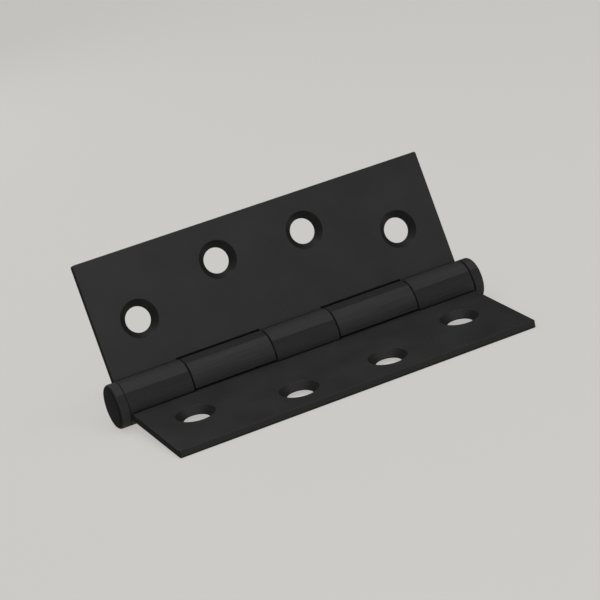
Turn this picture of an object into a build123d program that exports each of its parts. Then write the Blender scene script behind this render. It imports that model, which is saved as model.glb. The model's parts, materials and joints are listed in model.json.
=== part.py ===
from build123d import *
from math import asin, atan2, cos, degrees, radians, sin, sqrt
import os

os.makedirs("parts", exist_ok=True)

# Leaves: flat steel sheet, in mm
leaf_length = 102.0  # along the pin
leaf_reach = 38.0  # pin axis to free edge, half the open width
leaf_thickness = 2.0
closed_gap = 1.8  # between the inner faces when the hinge is shut
corner_radius = 0.5  # free corners, seen square to the leaf
edge_break = 0.1  # deburred sheet edges

# Knuckles: the sheet rolled round the pin
knuckle_diameter = 12.0
middle_knuckle = 18.45  # length of the upper leaf's middle knuckle
inner_knuckle = 23.45  # length of each of the lower leaf's knuckles
knuckle_gap = 0.35  # between neighbouring knuckles
knuckle_shift = 0.5  # middle of the five knuckles from the middle of the leaves
slot_clearance = 0.6  # radial, slot round the other leaf's knuckles
bend_radius = 2.0  # reverse bend behind the leaf, on the middle of the sheet
seam_gap = 0.45  # rolled end of the sheet to its own leaf
crown_flat_depth = 0.22  # narrow ground flat along the crown of each knuckle
crown_flat_lean = 6.0  # degrees that the flat leans towards its own leaf

# Screw holes: four in each leaf, evenly spaced, staggered in two rows
hole_end_margin = 12.45  # leaf end to the end holes
end_hole_reach = 19.4  # pin axis to the end holes
middle_hole_margin = 10.6  # free edge to the two middle holes
hole_diameter = 7.0
countersink_diameter = 10.5
countersink_angle = 90.0

# Pin and button tips
pin_clearance = 0.05  # radial, pin in the knuckles
pin_end_gap = 0.3  # pin end to tip spigot
pin_chamfer = 0.6
tip_length = 2.9
tip_chamfer = 0.4
tip_gap = 0.25  # tip to the end of its knuckle, when centred
tip_shift = 0.15  # pin and tips from the middle of the leaves
spigot_length = 5.0
spigot_clearance = 0.02  # radial, spigot in the end knuckle
spigot_chamfer = 0.5

# Angle between the inner faces as the hinge stands
opening_angle = 113.2

# Sizes that follow from those above
knuckle_radius = knuckle_diameter / 2
bore_radius = knuckle_radius - leaf_thickness
sheet_radius = knuckle_radius - leaf_thickness / 2
face_offset = closed_gap / 2
sheet_offset = face_offset + leaf_thickness / 2
back_offset = face_offset + leaf_thickness
slot_radius = knuckle_radius + slot_clearance
slot_reach = sqrt(slot_radius**2 - back_offset**2)  # on the back face
half_length = leaf_length / 2
inner_knuckle_centre = middle_knuckle / 2 + knuckle_gap + inner_knuckle / 2
inner_knuckle_end = inner_knuckle_centre + inner_knuckle / 2
inner_slot = inner_knuckle + 2 * knuckle_gap
middle_slot = middle_knuckle + 2 * knuckle_gap
right_seat = half_length + tip_gap + tip_shift
pin_reach = half_length + tip_gap - spigot_length - pin_end_gap
end_hole_spacing = leaf_length - 2 * hole_end_margin
middle_hole_spacing = end_hole_spacing / 3
middle_hole_reach = leaf_reach - middle_hole_margin

# The reverse bend is tangent to the leaf and to the rolled sheet
bend_drop = sheet_offset + bend_radius
bend_reach = sqrt((sheet_radius + bend_radius) ** 2 - bend_drop**2)
bend_turn = degrees(atan2(bend_reach, bend_drop))
roll_start = degrees(atan2(-bend_drop, bend_reach))
roll_end = degrees(asin((seam_gap - face_offset) / knuckle_radius))
roll_sweep = 360 - (roll_end - roll_start)

# The lower leaf lies flat with the middle of its back face at the origin
pin_y = (leaf_reach + slot_reach) / 2
pin_centre = Vector(0, pin_y, back_offset)
opening = radians(opening_angle)
lower_out = Vector(0, -1, 0)
lower_normal = Vector(0, 0, 1)
upper_out = Vector(0, -cos(opening), sin(opening))
upper_normal = Vector(0, -sin(opening), -cos(opening))


def section_plane(out, normal):
    """Square to the pin: x runs out along the leaf, y to its inner side."""
    return Plane(origin=pin_centre, x_dir=out, z_dir=out.cross(normal))


def face_plane(out, normal):
    """On the leaf's inner face: x runs along the pin, y out to the free edge."""
    origin = pin_centre - normal * face_offset
    return Plane(origin=origin, x_dir=out.cross(normal), z_dir=normal)


def rolled_sheet(plane):
    """Section of the sheet: flat leaf, reverse bend, roll round the pin."""
    inner_bend = bend_radius + leaf_thickness / 2
    outer_bend = bend_radius - leaf_thickness / 2
    with BuildSketch(plane) as section:
        with BuildLine():
            face = Line((leaf_reach, -face_offset), (bend_reach, -face_offset))
            CenterArc((bend_reach, -bend_drop), inner_bend, 90, bend_turn)
            bore = CenterArc((0, 0), bore_radius, roll_start, -roll_sweep)
            crown = CenterArc((0, 0), knuckle_radius, roll_start, -roll_sweep)
            CenterArc((bend_reach, -bend_drop), outer_bend, 90, bend_turn)
            back = Line((bend_reach, -back_offset), (leaf_reach, -back_offset))
            Line(bore @ 1, crown @ 1)
            Line(back @ 1, face @ 0)
        make_face()
    return section.sketch


def slot_circle(x):
    """Round clearance about the pin, where a slot for the other leaf's knuckle starts."""
    with BuildSketch(Plane(origin=pin_centre + Vector(x, 0, 0), z_dir=(1, 0, 0))) as circle:
        Circle(slot_radius)
    return circle.sketch


def crown_flat(plane):
    """What the ground flat takes off the crown, in section."""
    bearing = 90 - crown_flat_lean
    height = knuckle_radius - crown_flat_depth
    foot = (height * cos(radians(bearing)), height * sin(radians(bearing)), 0)
    with BuildSketch(plane) as flat:
        with Locations(Location(foot, bearing)):
            Rectangle(knuckle_radius, knuckle_diameter, align=(Align.MIN, Align.CENTER))
    return flat.sketch


def drill_screw_holes(plane):
    """The end holes lie nearer the pin than the two middle ones."""
    rows = [(end_hole_reach, end_hole_spacing), (middle_hole_reach, middle_hole_spacing)]
    for reach, spacing in rows:
        with Locations(plane):
            with Locations((-spacing / 2, reach), (spacing / 2, reach)):
                CounterSinkHole(
                    hole_diameter / 2,
                    countersink_diameter / 2,
                    counter_sink_angle=countersink_angle,
                )


def sheet_edges(leaf, out, normal):
    """Edges of the sheet's sawn ends and of its free edge, on both faces."""
    ends = leaf.faces().filter_by(Axis.X).edges()
    upright = ends.filter_by(Axis(pin_centre, normal))
    in_slots = ends.filter_by(GeomType.CIRCLE).group_by(SortBy.RADIUS)[-1]
    free = leaf.edges().filter_by(Axis.X).group_by(Axis(pin_centre, out))[-1]
    return ends - upright - in_slots + free


upper_section = section_plane(upper_out, upper_normal)
upper_face = face_plane(upper_out, upper_normal)
lower_section = section_plane(lower_out, lower_normal)
lower_face = face_plane(lower_out, lower_normal)

# Lower leaf: two rolled knuckles, with slots for the upper leaf's three
with BuildPart() as two_knuckle_leaf:
    extrude(rolled_sheet(lower_section), amount=half_length, both=True)
    left_end = knuckle_shift - inner_knuckle_end
    right_end = knuckle_shift + inner_knuckle_end
    extrude(slot_circle(-half_length), amount=half_length + left_end, mode=Mode.SUBTRACT)
    extrude(slot_circle(knuckle_shift - middle_slot / 2), amount=middle_slot, mode=Mode.SUBTRACT)
    extrude(slot_circle(right_end), amount=half_length - right_end, mode=Mode.SUBTRACT)
    corners = two_knuckle_leaf.edges().filter_by(Axis.Z).group_by(Axis.Y)[0]
    fillet(corners, corner_radius)
    chamfer(sheet_edges(two_knuckle_leaf, lower_out, lower_normal), edge_break)
    extrude(crown_flat(lower_section), amount=half_length, both=True, mode=Mode.SUBTRACT)
    drill_screw_holes(lower_face)
two_knuckle_leaf.part.label = "two_knuckle_leaf"
export_step(two_knuckle_leaf.part, "parts/two_knuckle_leaf.step")

# Upper leaf: three rolled knuckles, with slots for the lower leaf's two
with BuildPart() as three_knuckle_leaf:
    extrude(rolled_sheet(upper_section), amount=half_length, both=True)
    for centre in (knuckle_shift - inner_knuckle_centre, knuckle_shift + inner_knuckle_centre):
        extrude(slot_circle(centre - inner_slot / 2), amount=inner_slot, mode=Mode.SUBTRACT)
    upright = three_knuckle_leaf.edges().filter_by(Axis(pin_centre, upper_normal))
    fillet(upright.sort_by(Axis(pin_centre, upper_out))[-2:], corner_radius)
    chamfer(sheet_edges(three_knuckle_leaf, upper_out, upper_normal), edge_break)
    extrude(crown_flat(upper_section), amount=half_length, both=True, mode=Mode.SUBTRACT)
    drill_screw_holes(upper_face)
three_knuckle_leaf.part.label = "three_knuckle_leaf"
export_step(three_knuckle_leaf.part, "parts/three_knuckle_leaf.step")

# Pin: a plain bar that runs in the lower leaf's knuckles
with BuildPart() as hinge_pin:
    with BuildSketch(upper_section.offset(tip_shift)):
        Circle(bore_radius - pin_clearance)
    extrude(amount=pin_reach, both=True)
    chamfer(hinge_pin.edges().filter_by(GeomType.CIRCLE), pin_chamfer)
hinge_pin.part.label = "hinge_pin"
export_step(hinge_pin.part, "parts/hinge_pin.step")

# Right tip: a button head at the end knuckle, its spigot pressed into the bore
with BuildPart() as right_tip:
    with BuildSketch(upper_section.offset(right_seat)):
        Circle(knuckle_radius)
    extrude(amount=tip_length)
    rim = right_tip.edges().filter_by(GeomType.CIRCLE).sort_by(Axis.X)
    chamfer(rim[-1], tip_chamfer)
    chamfer(rim[0], edge_break)
    head_flat = crown_flat(upper_section.offset(right_seat))
    extrude(head_flat, amount=tip_length, mode=Mode.SUBTRACT)
    with BuildSketch(upper_section.offset(right_seat)):
        Circle(bore_radius - spigot_clearance)
    extrude(amount=-spigot_length)
    spigot_end = right_tip.edges().filter_by(GeomType.CIRCLE).sort_by(Axis.X)[0]
    chamfer(spigot_end, spigot_chamfer)
right_tip.part.label = "right_tip"
export_step(right_tip.part, "parts/right_tip.step")

# Left tip: the same, at the other end
with BuildPart() as left_tip:
    mirror(right_tip.part, about=Plane.YZ.offset(tip_shift))
left_tip.part.label = "left_tip"
export_step(left_tip.part, "parts/left_tip.step")
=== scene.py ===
import json
from math import asin, atan2, cos, hypot, radians, sin

import bpy
from mathutils import Matrix, Vector


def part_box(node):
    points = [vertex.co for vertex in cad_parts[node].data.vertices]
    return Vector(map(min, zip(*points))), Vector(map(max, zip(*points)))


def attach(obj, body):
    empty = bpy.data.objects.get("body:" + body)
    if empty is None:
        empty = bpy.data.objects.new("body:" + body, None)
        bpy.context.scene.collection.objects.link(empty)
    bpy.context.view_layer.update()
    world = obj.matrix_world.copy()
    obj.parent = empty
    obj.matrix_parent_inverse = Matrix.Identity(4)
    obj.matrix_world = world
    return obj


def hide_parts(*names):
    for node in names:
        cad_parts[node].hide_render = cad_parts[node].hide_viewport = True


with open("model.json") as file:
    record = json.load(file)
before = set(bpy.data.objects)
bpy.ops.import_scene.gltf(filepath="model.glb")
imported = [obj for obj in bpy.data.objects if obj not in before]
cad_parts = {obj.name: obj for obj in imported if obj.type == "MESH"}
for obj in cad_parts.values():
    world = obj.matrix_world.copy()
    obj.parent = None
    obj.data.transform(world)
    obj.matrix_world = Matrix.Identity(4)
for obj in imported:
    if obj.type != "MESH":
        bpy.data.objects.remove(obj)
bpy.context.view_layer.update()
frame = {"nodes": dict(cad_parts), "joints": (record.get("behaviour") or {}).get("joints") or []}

# Leaves: two pieces of 2 mm mild steel sheet, pierced, countersunk and rolled into knuckles
# round the pin. The crowns of the knuckles are ground flat before the whole leaf is coated
# satin black.
mm = 0.001
pin_joint = frame["joints"][0]
pin_centre = Vector(pin_joint["pos_m"])
opening = -pin_joint["range_deg"][0]  # between the countersunk faces, from shut
crown_bearing = 84.0  # degrees from a leaf to the ground flat on its knuckles
tip_low, tip_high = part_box("left_tip")
knuckle_radius = (tip_high.z - tip_low.z) / 2
free_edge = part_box("two_knuckle_leaf")[0].y
leaf_reach = pin_centre.y - free_edge


def linear(colour):
    """An sRGB hex colour as the linear RGBA that a shader takes."""
    parts = [int(colour[i:i + 2], 16) / 255 for i in (1, 3, 5)]
    return [p / 12.92 if p <= 0.04045 else ((p + 0.055) / 1.055) ** 2.4 for p in parts] + [1.0]


def add(tree, kind, inputs, **settings):
    """A node with its settings; each input is a value or another node's output."""
    node = tree.nodes.new(kind)
    for name, value in settings.items():
        setattr(node, name, value)
    for key, value in inputs.items():
        if isinstance(value, bpy.types.NodeSocket):
            tree.links.new(value, node.inputs[key])
        else:
            node.inputs[key].default_value = value
    return node


def round_pin(angle):
    """The direction out of the pin, so many degrees up from the lower leaf."""
    return Vector((0, -cos(radians(angle)), sin(radians(angle))))


def satin_black_coat(name, sheet, crown, end_from, end_to):
    """Thin black coat baked on steel: an even, soft sheen over a faint orange peel.

    sheet is the way that the leaf's face looks, and crown the way that the ground flats look.
    A surface starts to count as an end, and takes painted shade, where its normal's share along
    the pin is end_from, and is one at end_to. The eye gets a plain satin black on the faces, a
    darker, finely lined streak on the flats, painted shade in the recesses, and ends and crevices
    that are dull and painted nearly black as shade, so that slots, joints and holes are drawn in
    dark lines.
    """
    film_specular = 0.25  # half of a clear film's, as a satin one is matted
    material = bpy.data.materials.new(name)
    material.use_nodes = True
    tree = material.node_tree
    coat = tree.nodes["Principled BSDF"]
    coat.inputs["Specular IOR Level"].default_value = film_specular
    place = add(tree, "ShaderNodeTexCoord", {})

    # Cloudy film thickness over a centimetre or so, and smudges left by handling
    cloud_size = 11 * mm
    film_dark, film_light = "#1e1e1e", "#303030"
    cloud = add(tree, "ShaderNodeTexNoise", {
        "Vector": place.outputs["Object"], "Scale": 1 / cloud_size, "Detail": 4.0})
    film = add(tree, "ShaderNodeMix", {
        0: cloud.outputs["Fac"], 6: linear(film_dark), 7: linear(film_light)}, data_type="RGBA")

    # Linishing lines along the pin, drawn coarser than real so that they show: faint all round
    # the knuckles, and strong on the ground flats
    line_length = 14 * mm
    line_width = 0.5 * mm
    line_grey = "#2e2e2e"
    line_from, line_to = 0.35, 0.65  # part of the noise over which a line fades in
    roll_margin = 0.1 * mm  # outside the knuckles, and still counted with them
    ground_dark, ground_light = "#171717", "#272727"
    ground_from, ground_to = 0.9985, 0.9995  # cosines of about 3 and 2 degrees off the flat
    along_pin = add(tree, "ShaderNodeMapping", {
        "Vector": place.outputs["Object"],
        "Scale": (1 / line_length, 1 / line_width, 1 / line_width)})
    lines = add(tree, "ShaderNodeTexNoise", {
        "Vector": along_pin.outputs["Vector"], "Scale": 1.0, "Detail": 3.0})
    across = add(tree, "ShaderNodeVectorMath", {
        0: place.outputs["Object"], 1: (0, 1, 1)}, operation="MULTIPLY")
    spread = add(tree, "ShaderNodeVectorMath", {
        0: across.outputs["Vector"], 1: pin_centre}, operation="DISTANCE")
    rolled = add(tree, "ShaderNodeMath", {
        0: spread.outputs["Value"], 1: knuckle_radius + roll_margin}, operation="LESS_THAN")
    scored = add(tree, "ShaderNodeMapRange", {
        "Value": lines.outputs["Fac"], "From Min": line_from, "From Max": line_to,
        "To Max": rolled.outputs["Value"]})
    knuckles = add(tree, "ShaderNodeMix", {
        0: scored.outputs["Result"], 6: film.outputs[2], 7: linear(line_grey)}, data_type="RGBA")
    ground = add(tree, "ShaderNodeMix", {
        0: lines.outputs["Fac"], 6: linear(ground_dark), 7: linear(ground_light)},
        data_type="RGBA")
    flat_turn = add(tree, "ShaderNodeVectorMath", {
        0: place.outputs["Normal"], 1: crown}, operation="DOT_PRODUCT")
    flat = add(tree, "ShaderNodeMapRange", {
        "Value": flat_turn.outputs["Value"], "From Min": ground_from, "From Max": ground_to})
    faces = add(tree, "ShaderNodeMix", {
        0: flat.outputs["Result"], 6: knuckles.outputs[2], 7: ground.outputs[2]},
        data_type="RGBA")

    # Countersinks, hole walls and slot walls: between the knuckles and the free edge, all that
    # are not the sheet's own two faces. They are painted darker, as painted shade in these
    # recesses, and the sheared free edge is a little darker too
    face_turn = 0.8  # least cosine to the sheet's faces that still counts as one of them
    edge_margin = 0.3 * mm  # in from the free edge, and still counted with it
    recess_shade_black, edge_black = "#1b1b1b", "#202020"
    sheet_turn = add(tree, "ShaderNodeVectorMath", {
        0: place.outputs["Normal"], 1: sheet}, operation="DOT_PRODUCT")
    sheet_size = add(tree, "ShaderNodeMath", {
        0: sheet_turn.outputs["Value"]}, operation="ABSOLUTE")
    slant = add(tree, "ShaderNodeMath", {
        0: sheet_size.outputs["Value"], 1: face_turn}, operation="LESS_THAN")
    off_edges = add(tree, "ShaderNodeMath", {
        0: spread.outputs["Value"], 1: (leaf_reach + knuckle_radius) / 2,
        2: (leaf_reach - knuckle_radius) / 2 - edge_margin}, operation="COMPARE")
    pierced = add(tree, "ShaderNodeMath", {
        0: slant.outputs["Value"], 1: off_edges.outputs["Value"]}, operation="MULTIPLY")
    recess_shaded = add(tree, "ShaderNodeMix", {
        0: pierced.outputs["Value"], 6: faces.outputs[2], 7: linear(recess_shade_black)},
        data_type="RGBA")
    on_edge = add(tree, "ShaderNodeMath", {
        0: spread.outputs["Value"], 1: leaf_reach - edge_margin}, operation="GREATER_THAN")
    sheared = add(tree, "ShaderNodeMath", {
        0: slant.outputs["Value"], 1: on_edge.outputs["Value"]}, operation="MULTIPLY")
    edged = add(tree, "ShaderNodeMix", {
        0: sheared.outputs["Value"], 6: recess_shaded.outputs[2], 7: linear(edge_black)},
        data_type="RGBA")

    # Sawn ends, which look along the pin, and the crevices between knuckles and leaves: dull, and
    # painted nearly black as shade. Where two knuckles face each other the walls take a lighter
    # painted shade, so that the joint between them stays a soft line
    edge_width = 0.25 * mm  # how far the coat rounds an edge
    crevice_reach = 1.0 * mm
    crevice_from, crevice_to = 0.8, 0.55  # share of the view that is open
    crevice_shade_black, joint_shade_grey = "#080808", "#303030"
    soft_edge = add(tree, "ShaderNodeBevel", {"Radius": edge_width}, samples=8)
    end_turn = add(tree, "ShaderNodeVectorMath", {
        0: soft_edge.outputs["Normal"], 1: (1, 0, 0)}, operation="DOT_PRODUCT")
    end_size = add(tree, "ShaderNodeMath", {0: end_turn.outputs["Value"]}, operation="ABSOLUTE")
    end = add(tree, "ShaderNodeMapRange", {
        "Value": end_size.outputs["Value"], "From Min": end_from, "From Max": end_to})
    # ambient occlusion finds the crevices, where shade is painted
    shut_in = add(tree, "ShaderNodeAmbientOcclusion", {"Distance": crevice_reach}, samples=16)
    crevice = add(tree, "ShaderNodeMapRange", {
        "Value": shut_in.outputs["AO"], "From Min": crevice_from, "From Max": crevice_to})
    shade_mask = add(tree, "ShaderNodeMath", {
        0: end.outputs["Result"], 1: crevice.outputs["Result"]}, operation="MAXIMUM")
    between = add(tree, "ShaderNodeMath", {
        0: end.outputs["Result"], 1: crevice.outputs["Result"]}, operation="MULTIPLY")
    joint = add(tree, "ShaderNodeMath", {
        0: between.outputs["Value"], 1: rolled.outputs["Value"]}, operation="MULTIPLY")
    shade = add(tree, "ShaderNodeMix", {
        0: joint.outputs["Value"], 6: linear(crevice_shade_black), 7: linear(joint_shade_grey)},
        data_type="RGBA")
    colour = add(tree, "ShaderNodeMix", {
        0: shade_mask.outputs["Value"], 6: edged.outputs[2], 7: shade.outputs[2]}, data_type="RGBA")
    tree.links.new(colour.outputs[2], coat.inputs["Base Color"])

    # Sheen: follows the cloudy film, softer on the linished knuckles, gone where shade is painted
    cloud_from, cloud_to = 0.3, 0.7  # part of the noise over which the sheen changes
    film_smooth, film_rough = 0.46, 0.54
    linish_rough = 0.15  # added by the lines
    cut_rough = 1.0
    sheen = add(tree, "ShaderNodeMapRange", {
        "Value": cloud.outputs["Fac"], "From Min": cloud_from, "From Max": cloud_to,
        "To Min": film_smooth, "To Max": film_rough})
    linished = add(tree, "ShaderNodeMath", {
        0: rolled.outputs["Value"], 1: linish_rough, 2: sheen.outputs["Result"]},
        operation="MULTIPLY_ADD")
    dull = add(tree, "ShaderNodeMix", {
        0: shade_mask.outputs["Value"], 2: linished.outputs["Value"], 3: cut_rough})
    tree.links.new(dull.outputs[0], coat.inputs["Roughness"])

    # Orange peel, coarser than the real one so that it shows, over edges that the coat rounds
    peel_size = 0.7 * mm
    peel_height = 0.004 * mm
    peel = add(tree, "ShaderNodeTexNoise", {
        "Vector": place.outputs["Object"], "Scale": 1 / peel_size, "Detail": 2.0})
    bump = add(tree, "ShaderNodeBump", {
        "Height": peel.outputs["Fac"], "Distance": peel_height,
        "Normal": soft_edge.outputs["Normal"]})
    tree.links.new(bump.outputs["Normal"], coat.inputs["Normal"])
    return material


# Painted shade, nearly black, on surfaces that look along the pin, from sawn_from to sawn_to
sawn_from, sawn_to = 0.4, 0.9  # square ends, and in part the flanks of the countersinks
lower_sheet = round_pin(90)
lower_crown = round_pin(crown_bearing)
lower_coat = satin_black_coat(
    "satin_black_coat_lower", lower_sheet, lower_crown, sawn_from, sawn_to)
frame["nodes"]["two_knuckle_leaf"].data.materials[0] = lower_coat
upper_sheet = round_pin(opening - 90)
upper_crown = round_pin(opening - crown_bearing)
upper_coat = satin_black_coat(
    "satin_black_coat_upper", upper_sheet, upper_crown, sawn_from, sawn_to)
frame["nodes"]["three_knuckle_leaf"].data.materials[0] = upper_coat

# Pin: a length of bright drawn steel bar, left uncoated, slid through the five knuckles and kept
# there by the tips. It shows only as a glint in the gaps between knuckles: a grey metal with
# fine lines along it.
draw_length = 30 * mm
draw_line = 0.3 * mm  # drawn coarser than real, so that the lines show
drawn_grey = "#8d8b88"
drawn_smooth, drawn_rough = 0.22, 0.42
drawn_steel = bpy.data.materials.new("bright_drawn_steel")
drawn_steel.use_nodes = True
steel_tree = drawn_steel.node_tree
steel = steel_tree.nodes["Principled BSDF"]
steel.inputs["Metallic"].default_value = 1.0
steel.inputs["Base Color"].default_value = linear(drawn_grey)
steel_place = add(steel_tree, "ShaderNodeTexCoord", {})
steel_grain = add(steel_tree, "ShaderNodeMapping", {
    "Vector": steel_place.outputs["Object"],
    "Scale": (1 / draw_length, 1 / draw_line, 1 / draw_line)})
drawing = add(steel_tree, "ShaderNodeTexNoise", {
    "Vector": steel_grain.outputs["Vector"], "Scale": 1.0})
steel_sheen = add(steel_tree, "ShaderNodeMapRange", {
    "Value": drawing.outputs["Fac"], "To Min": drawn_smooth, "To Max": drawn_rough})
steel_tree.links.new(steel_sheen.outputs["Result"], steel.inputs["Roughness"])
frame["nodes"]["hinge_pin"].data.materials[0] = drawn_steel

# Tips: two turned steel buttons, pressed by their spigots into the end knuckles. Their rims are
# turned round, where the solids have a plain chamfer, and their heads are ground and coated with
# the upper leaf's knuckles.
head_length = 2.9 * mm
rim_radius = 1.0 * mm
rim_steps = 10
inner_break = 0.1 * mm  # edge of the head that faces the knuckle
spigot_radius = 3.98 * mm
spigot_chamfer = 0.5 * mm
turned_sides = 92  # four to each side of the crown make the width of the ground flat
flat_depth = 0.22 * mm
flat_height = knuckle_radius - flat_depth
crease_angle = radians(12)
# The tips' outer ends take the same painted shade, nearly black, from the round rim on
turned_from, turned_to = 0.3, 0.8  # from the round rim on
tip_coat = satin_black_coat(
    "satin_black_coat_tips", upper_sheet, upper_crown, turned_from, turned_to)
right_low, right_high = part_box("right_tip")
tip_ends = (  # name, node, outer end, spigot end
    ("left_button", "left_tip", tip_low.x, tip_high.x),
    ("right_button", "right_tip", right_high.x, right_low.x),
)
for name, node, outer, inner in tip_ends:
    length = abs(inner - outer)
    inward = (inner - outer) / length
    turning = [(0, 0)]  # distance in from the outer end, radius
    for step in range(rim_steps + 1):
        turned = radians(90 * step / rim_steps)
        depth = rim_radius * (1 - cos(turned))
        turning.append((depth, knuckle_radius - rim_radius * (1 - sin(turned))))
    turning += [
        (head_length - inner_break, knuckle_radius), (head_length, knuckle_radius - inner_break),
        (head_length, spigot_radius), (length - spigot_chamfer, spigot_radius),
        (length, spigot_radius - spigot_chamfer), (length, 0)]
    points, rings = [], []  # turned about the pin, and ground down to the flat
    for along, radius in turning:
        middle = Vector((outer + inward * along, *pin_centre.yz))
        sides = turned_sides if radius else 1
        rings.append([len(points) + side % sides for side in range(turned_sides + 1)])
        for side in range(sides):
            about_pin = Matrix.Rotation(inward * radians(360 * side / turned_sides), 3, "X")
            spoke = about_pin @ upper_crown * radius
            ground_off = max(spoke.dot(upper_crown) - flat_height, 0)
            points.append(middle + spoke - upper_crown * ground_off)
    faces = []
    for ring, next_ring in zip(rings, rings[1:]):
        for side in range(turned_sides):
            corners = (ring[side], ring[side + 1], next_ring[side + 1], next_ring[side])
            faces.append(list(dict.fromkeys(corners)))  # only three corners at the axis
    button_mesh = bpy.data.meshes.new(name)
    button_mesh.from_pydata(points, [], faces)
    button_mesh.shade_smooth()
    button_mesh.set_sharp_from_angle(angle=crease_angle)
    button_mesh.materials.append(tip_coat)
    button = bpy.data.objects.new(name, button_mesh)
    bpy.context.scene.collection.objects.link(button)
    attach(button, "upper_leaf")
    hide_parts(node)

# Floor: a plain sheet of pale, matt paper. The hinge rests on its knuckles and on the lower
# leaf's free edge, so the sheet slopes to touch both. It is pale to the camera wherever the
# shadow leaves it so.
slope = atan2(pin_centre.z, leaf_reach) - asin(knuckle_radius / hypot(pin_centre.z, leaf_reach))
floor_half = 2000 * mm
paper_colour = linear("#d3d1cd")
paper_roughness = 0.9
backdrop_share = 0.7  # of what the camera sees that is the paper's own colour, whatever the light
floor_mesh = bpy.data.meshes.new("floor")
floor_corners = [(x, y, 0) for x, y in ((-1, -1), (1, -1), (1, 1), (-1, 1))]
floor_mesh.from_pydata([Vector(c) * floor_half for c in floor_corners], [], [(0, 1, 2, 3)])
floor = bpy.data.objects.new("floor", floor_mesh)
floor.matrix_world = Matrix.Translation((0, free_edge, 0)) @ Matrix.Rotation(slope, 4, "X")
bpy.context.scene.collection.objects.link(floor)
floor_paper = bpy.data.materials.new("pale_paper")
floor_paper.use_nodes = True
paper_tree = floor_paper.node_tree
paper = paper_tree.nodes["Principled BSDF"]
paper.inputs["Base Color"].default_value = paper_colour
paper.inputs["Roughness"].default_value = paper_roughness
paper.inputs["Specular IOR Level"].default_value = 0.0
glow = add(paper_tree, "ShaderNodeEmission", {"Color": paper_colour, "Strength": 1.0})
path = add(paper_tree, "ShaderNodeLightPath", {})
seen = add(paper_tree, "ShaderNodeMath", {
    0: path.outputs["Is Camera Ray"], 1: path.outputs["Is Glossy Ray"]}, operation="MAXIMUM")
seen_through = add(paper_tree, "ShaderNodeMath", {
    0: seen.outputs["Value"], 1: path.outputs["Is Transmission Ray"]}, operation="MAXIMUM")
share = add(paper_tree, "ShaderNodeMath", {
    0: seen_through.outputs["Value"], 1: backdrop_share}, operation="MULTIPLY")
lit_paper = add(paper_tree, "ShaderNodeMixShader", {
    0: share.outputs["Value"], 1: paper.outputs["BSDF"], 2: glow.outputs["Emission"]})
paper_surface = paper_tree.nodes["Material Output"].inputs["Surface"]
paper_tree.links.new(lit_paper.outputs["Shader"], paper_surface)
floor_mesh.materials.append(floor_paper)

# Studio: a softbox above and behind, a small one overhead to the right that draws the streaks on
# the knuckles, broad fills low in front and behind, and a room lightest above to the front left.
softbox_plan = (  # name, degrees up from the front, share to the left, away, size, power
    ("back_softbox", 104.0, 0.1, 500 * mm, 300 * mm, 0.55),
    ("top_softbox", 74.0, -0.4, 600 * mm, 150 * mm, 0.29),
    ("front_fill", 24.0, 0.2, 500 * mm, 400 * mm, 0.49),
    ("back_fill", 165.0, 0.15, 600 * mm, 200 * mm, 0.4),
)
for name, lean, left, away, size, power in softbox_plan:
    softbox = bpy.data.objects.new(name, bpy.data.lights.new(name, "AREA"))
    softbox.data.shape = "SQUARE"
    softbox.data.size = size
    softbox.data.energy = power
    to_box = (round_pin(lean) - Vector((left, 0, 0))).normalized()
    softbox.location = pin_centre + to_box * away
    softbox.rotation_euler = to_box.to_track_quat("Z", "Y").to_euler()
    bpy.context.scene.collection.objects.link(softbox)
to_light = Vector((-0.3, -0.55, 0.78)).normalized()
light_from, light_to = -0.4, 0.9  # cosines to that way where the room is darkest and lightest
room_dark, room_light = "#101010", "#e8e8e8"
room_strength = 0.77
room = bpy.data.worlds.new("room")
room.use_nodes = True
room_tree = room.node_tree
look = add(room_tree, "ShaderNodeTexCoord", {})
look_turn = add(room_tree, "ShaderNodeVectorMath", {
    0: look.outputs["Generated"], 1: to_light}, operation="DOT_PRODUCT")
lit = add(room_tree, "ShaderNodeMapRange", {
    "Value": look_turn.outputs["Value"], "From Min": light_from, "From Max": light_to},
    interpolation_type="SMOOTHSTEP")
room_colour = add(room_tree, "ShaderNodeMix", {
    0: lit.outputs["Result"], 6: linear(room_dark), 7: linear(room_light)}, data_type="RGBA")
room_tree.links.new(room_colour.outputs[2], room_tree.nodes["Background"].inputs["Color"])
room_tree.nodes["Background"].inputs["Strength"].default_value = room_strength
bpy.context.scene.world = room

# Camera: a long lens from the left front, a little above the hinge, and rolled to the right.
aim = pin_centre + Vector((-1.1, -10.5, 15.1)) * mm  # at the middle of the picture
distance = 631.3 * mm
azimuth = radians(-21.44)
elevation = radians(20.51)
roll = radians(11.56)
lens, sensor = 146.3, 36.0  # camera's own millimetres
camera = bpy.data.objects.new("camera", bpy.data.cameras.new("camera"))
camera.data.lens = lens
camera.data.sensor_width = sensor
turn = Matrix.Rotation(azimuth, 4, "Z") @ Matrix.Rotation(radians(90) - elevation, 4, "X")
turn = turn @ Matrix.Rotation(-roll, 4, "Z")
camera.matrix_world = Matrix.Translation(aim + turn.to_3x3() @ Vector((0, 0, distance))) @ turn
bpy.context.scene.collection.objects.link(camera)
bpy.context.scene.camera = camera
bpy.context.scene.view_settings.view_transform = "Standard"
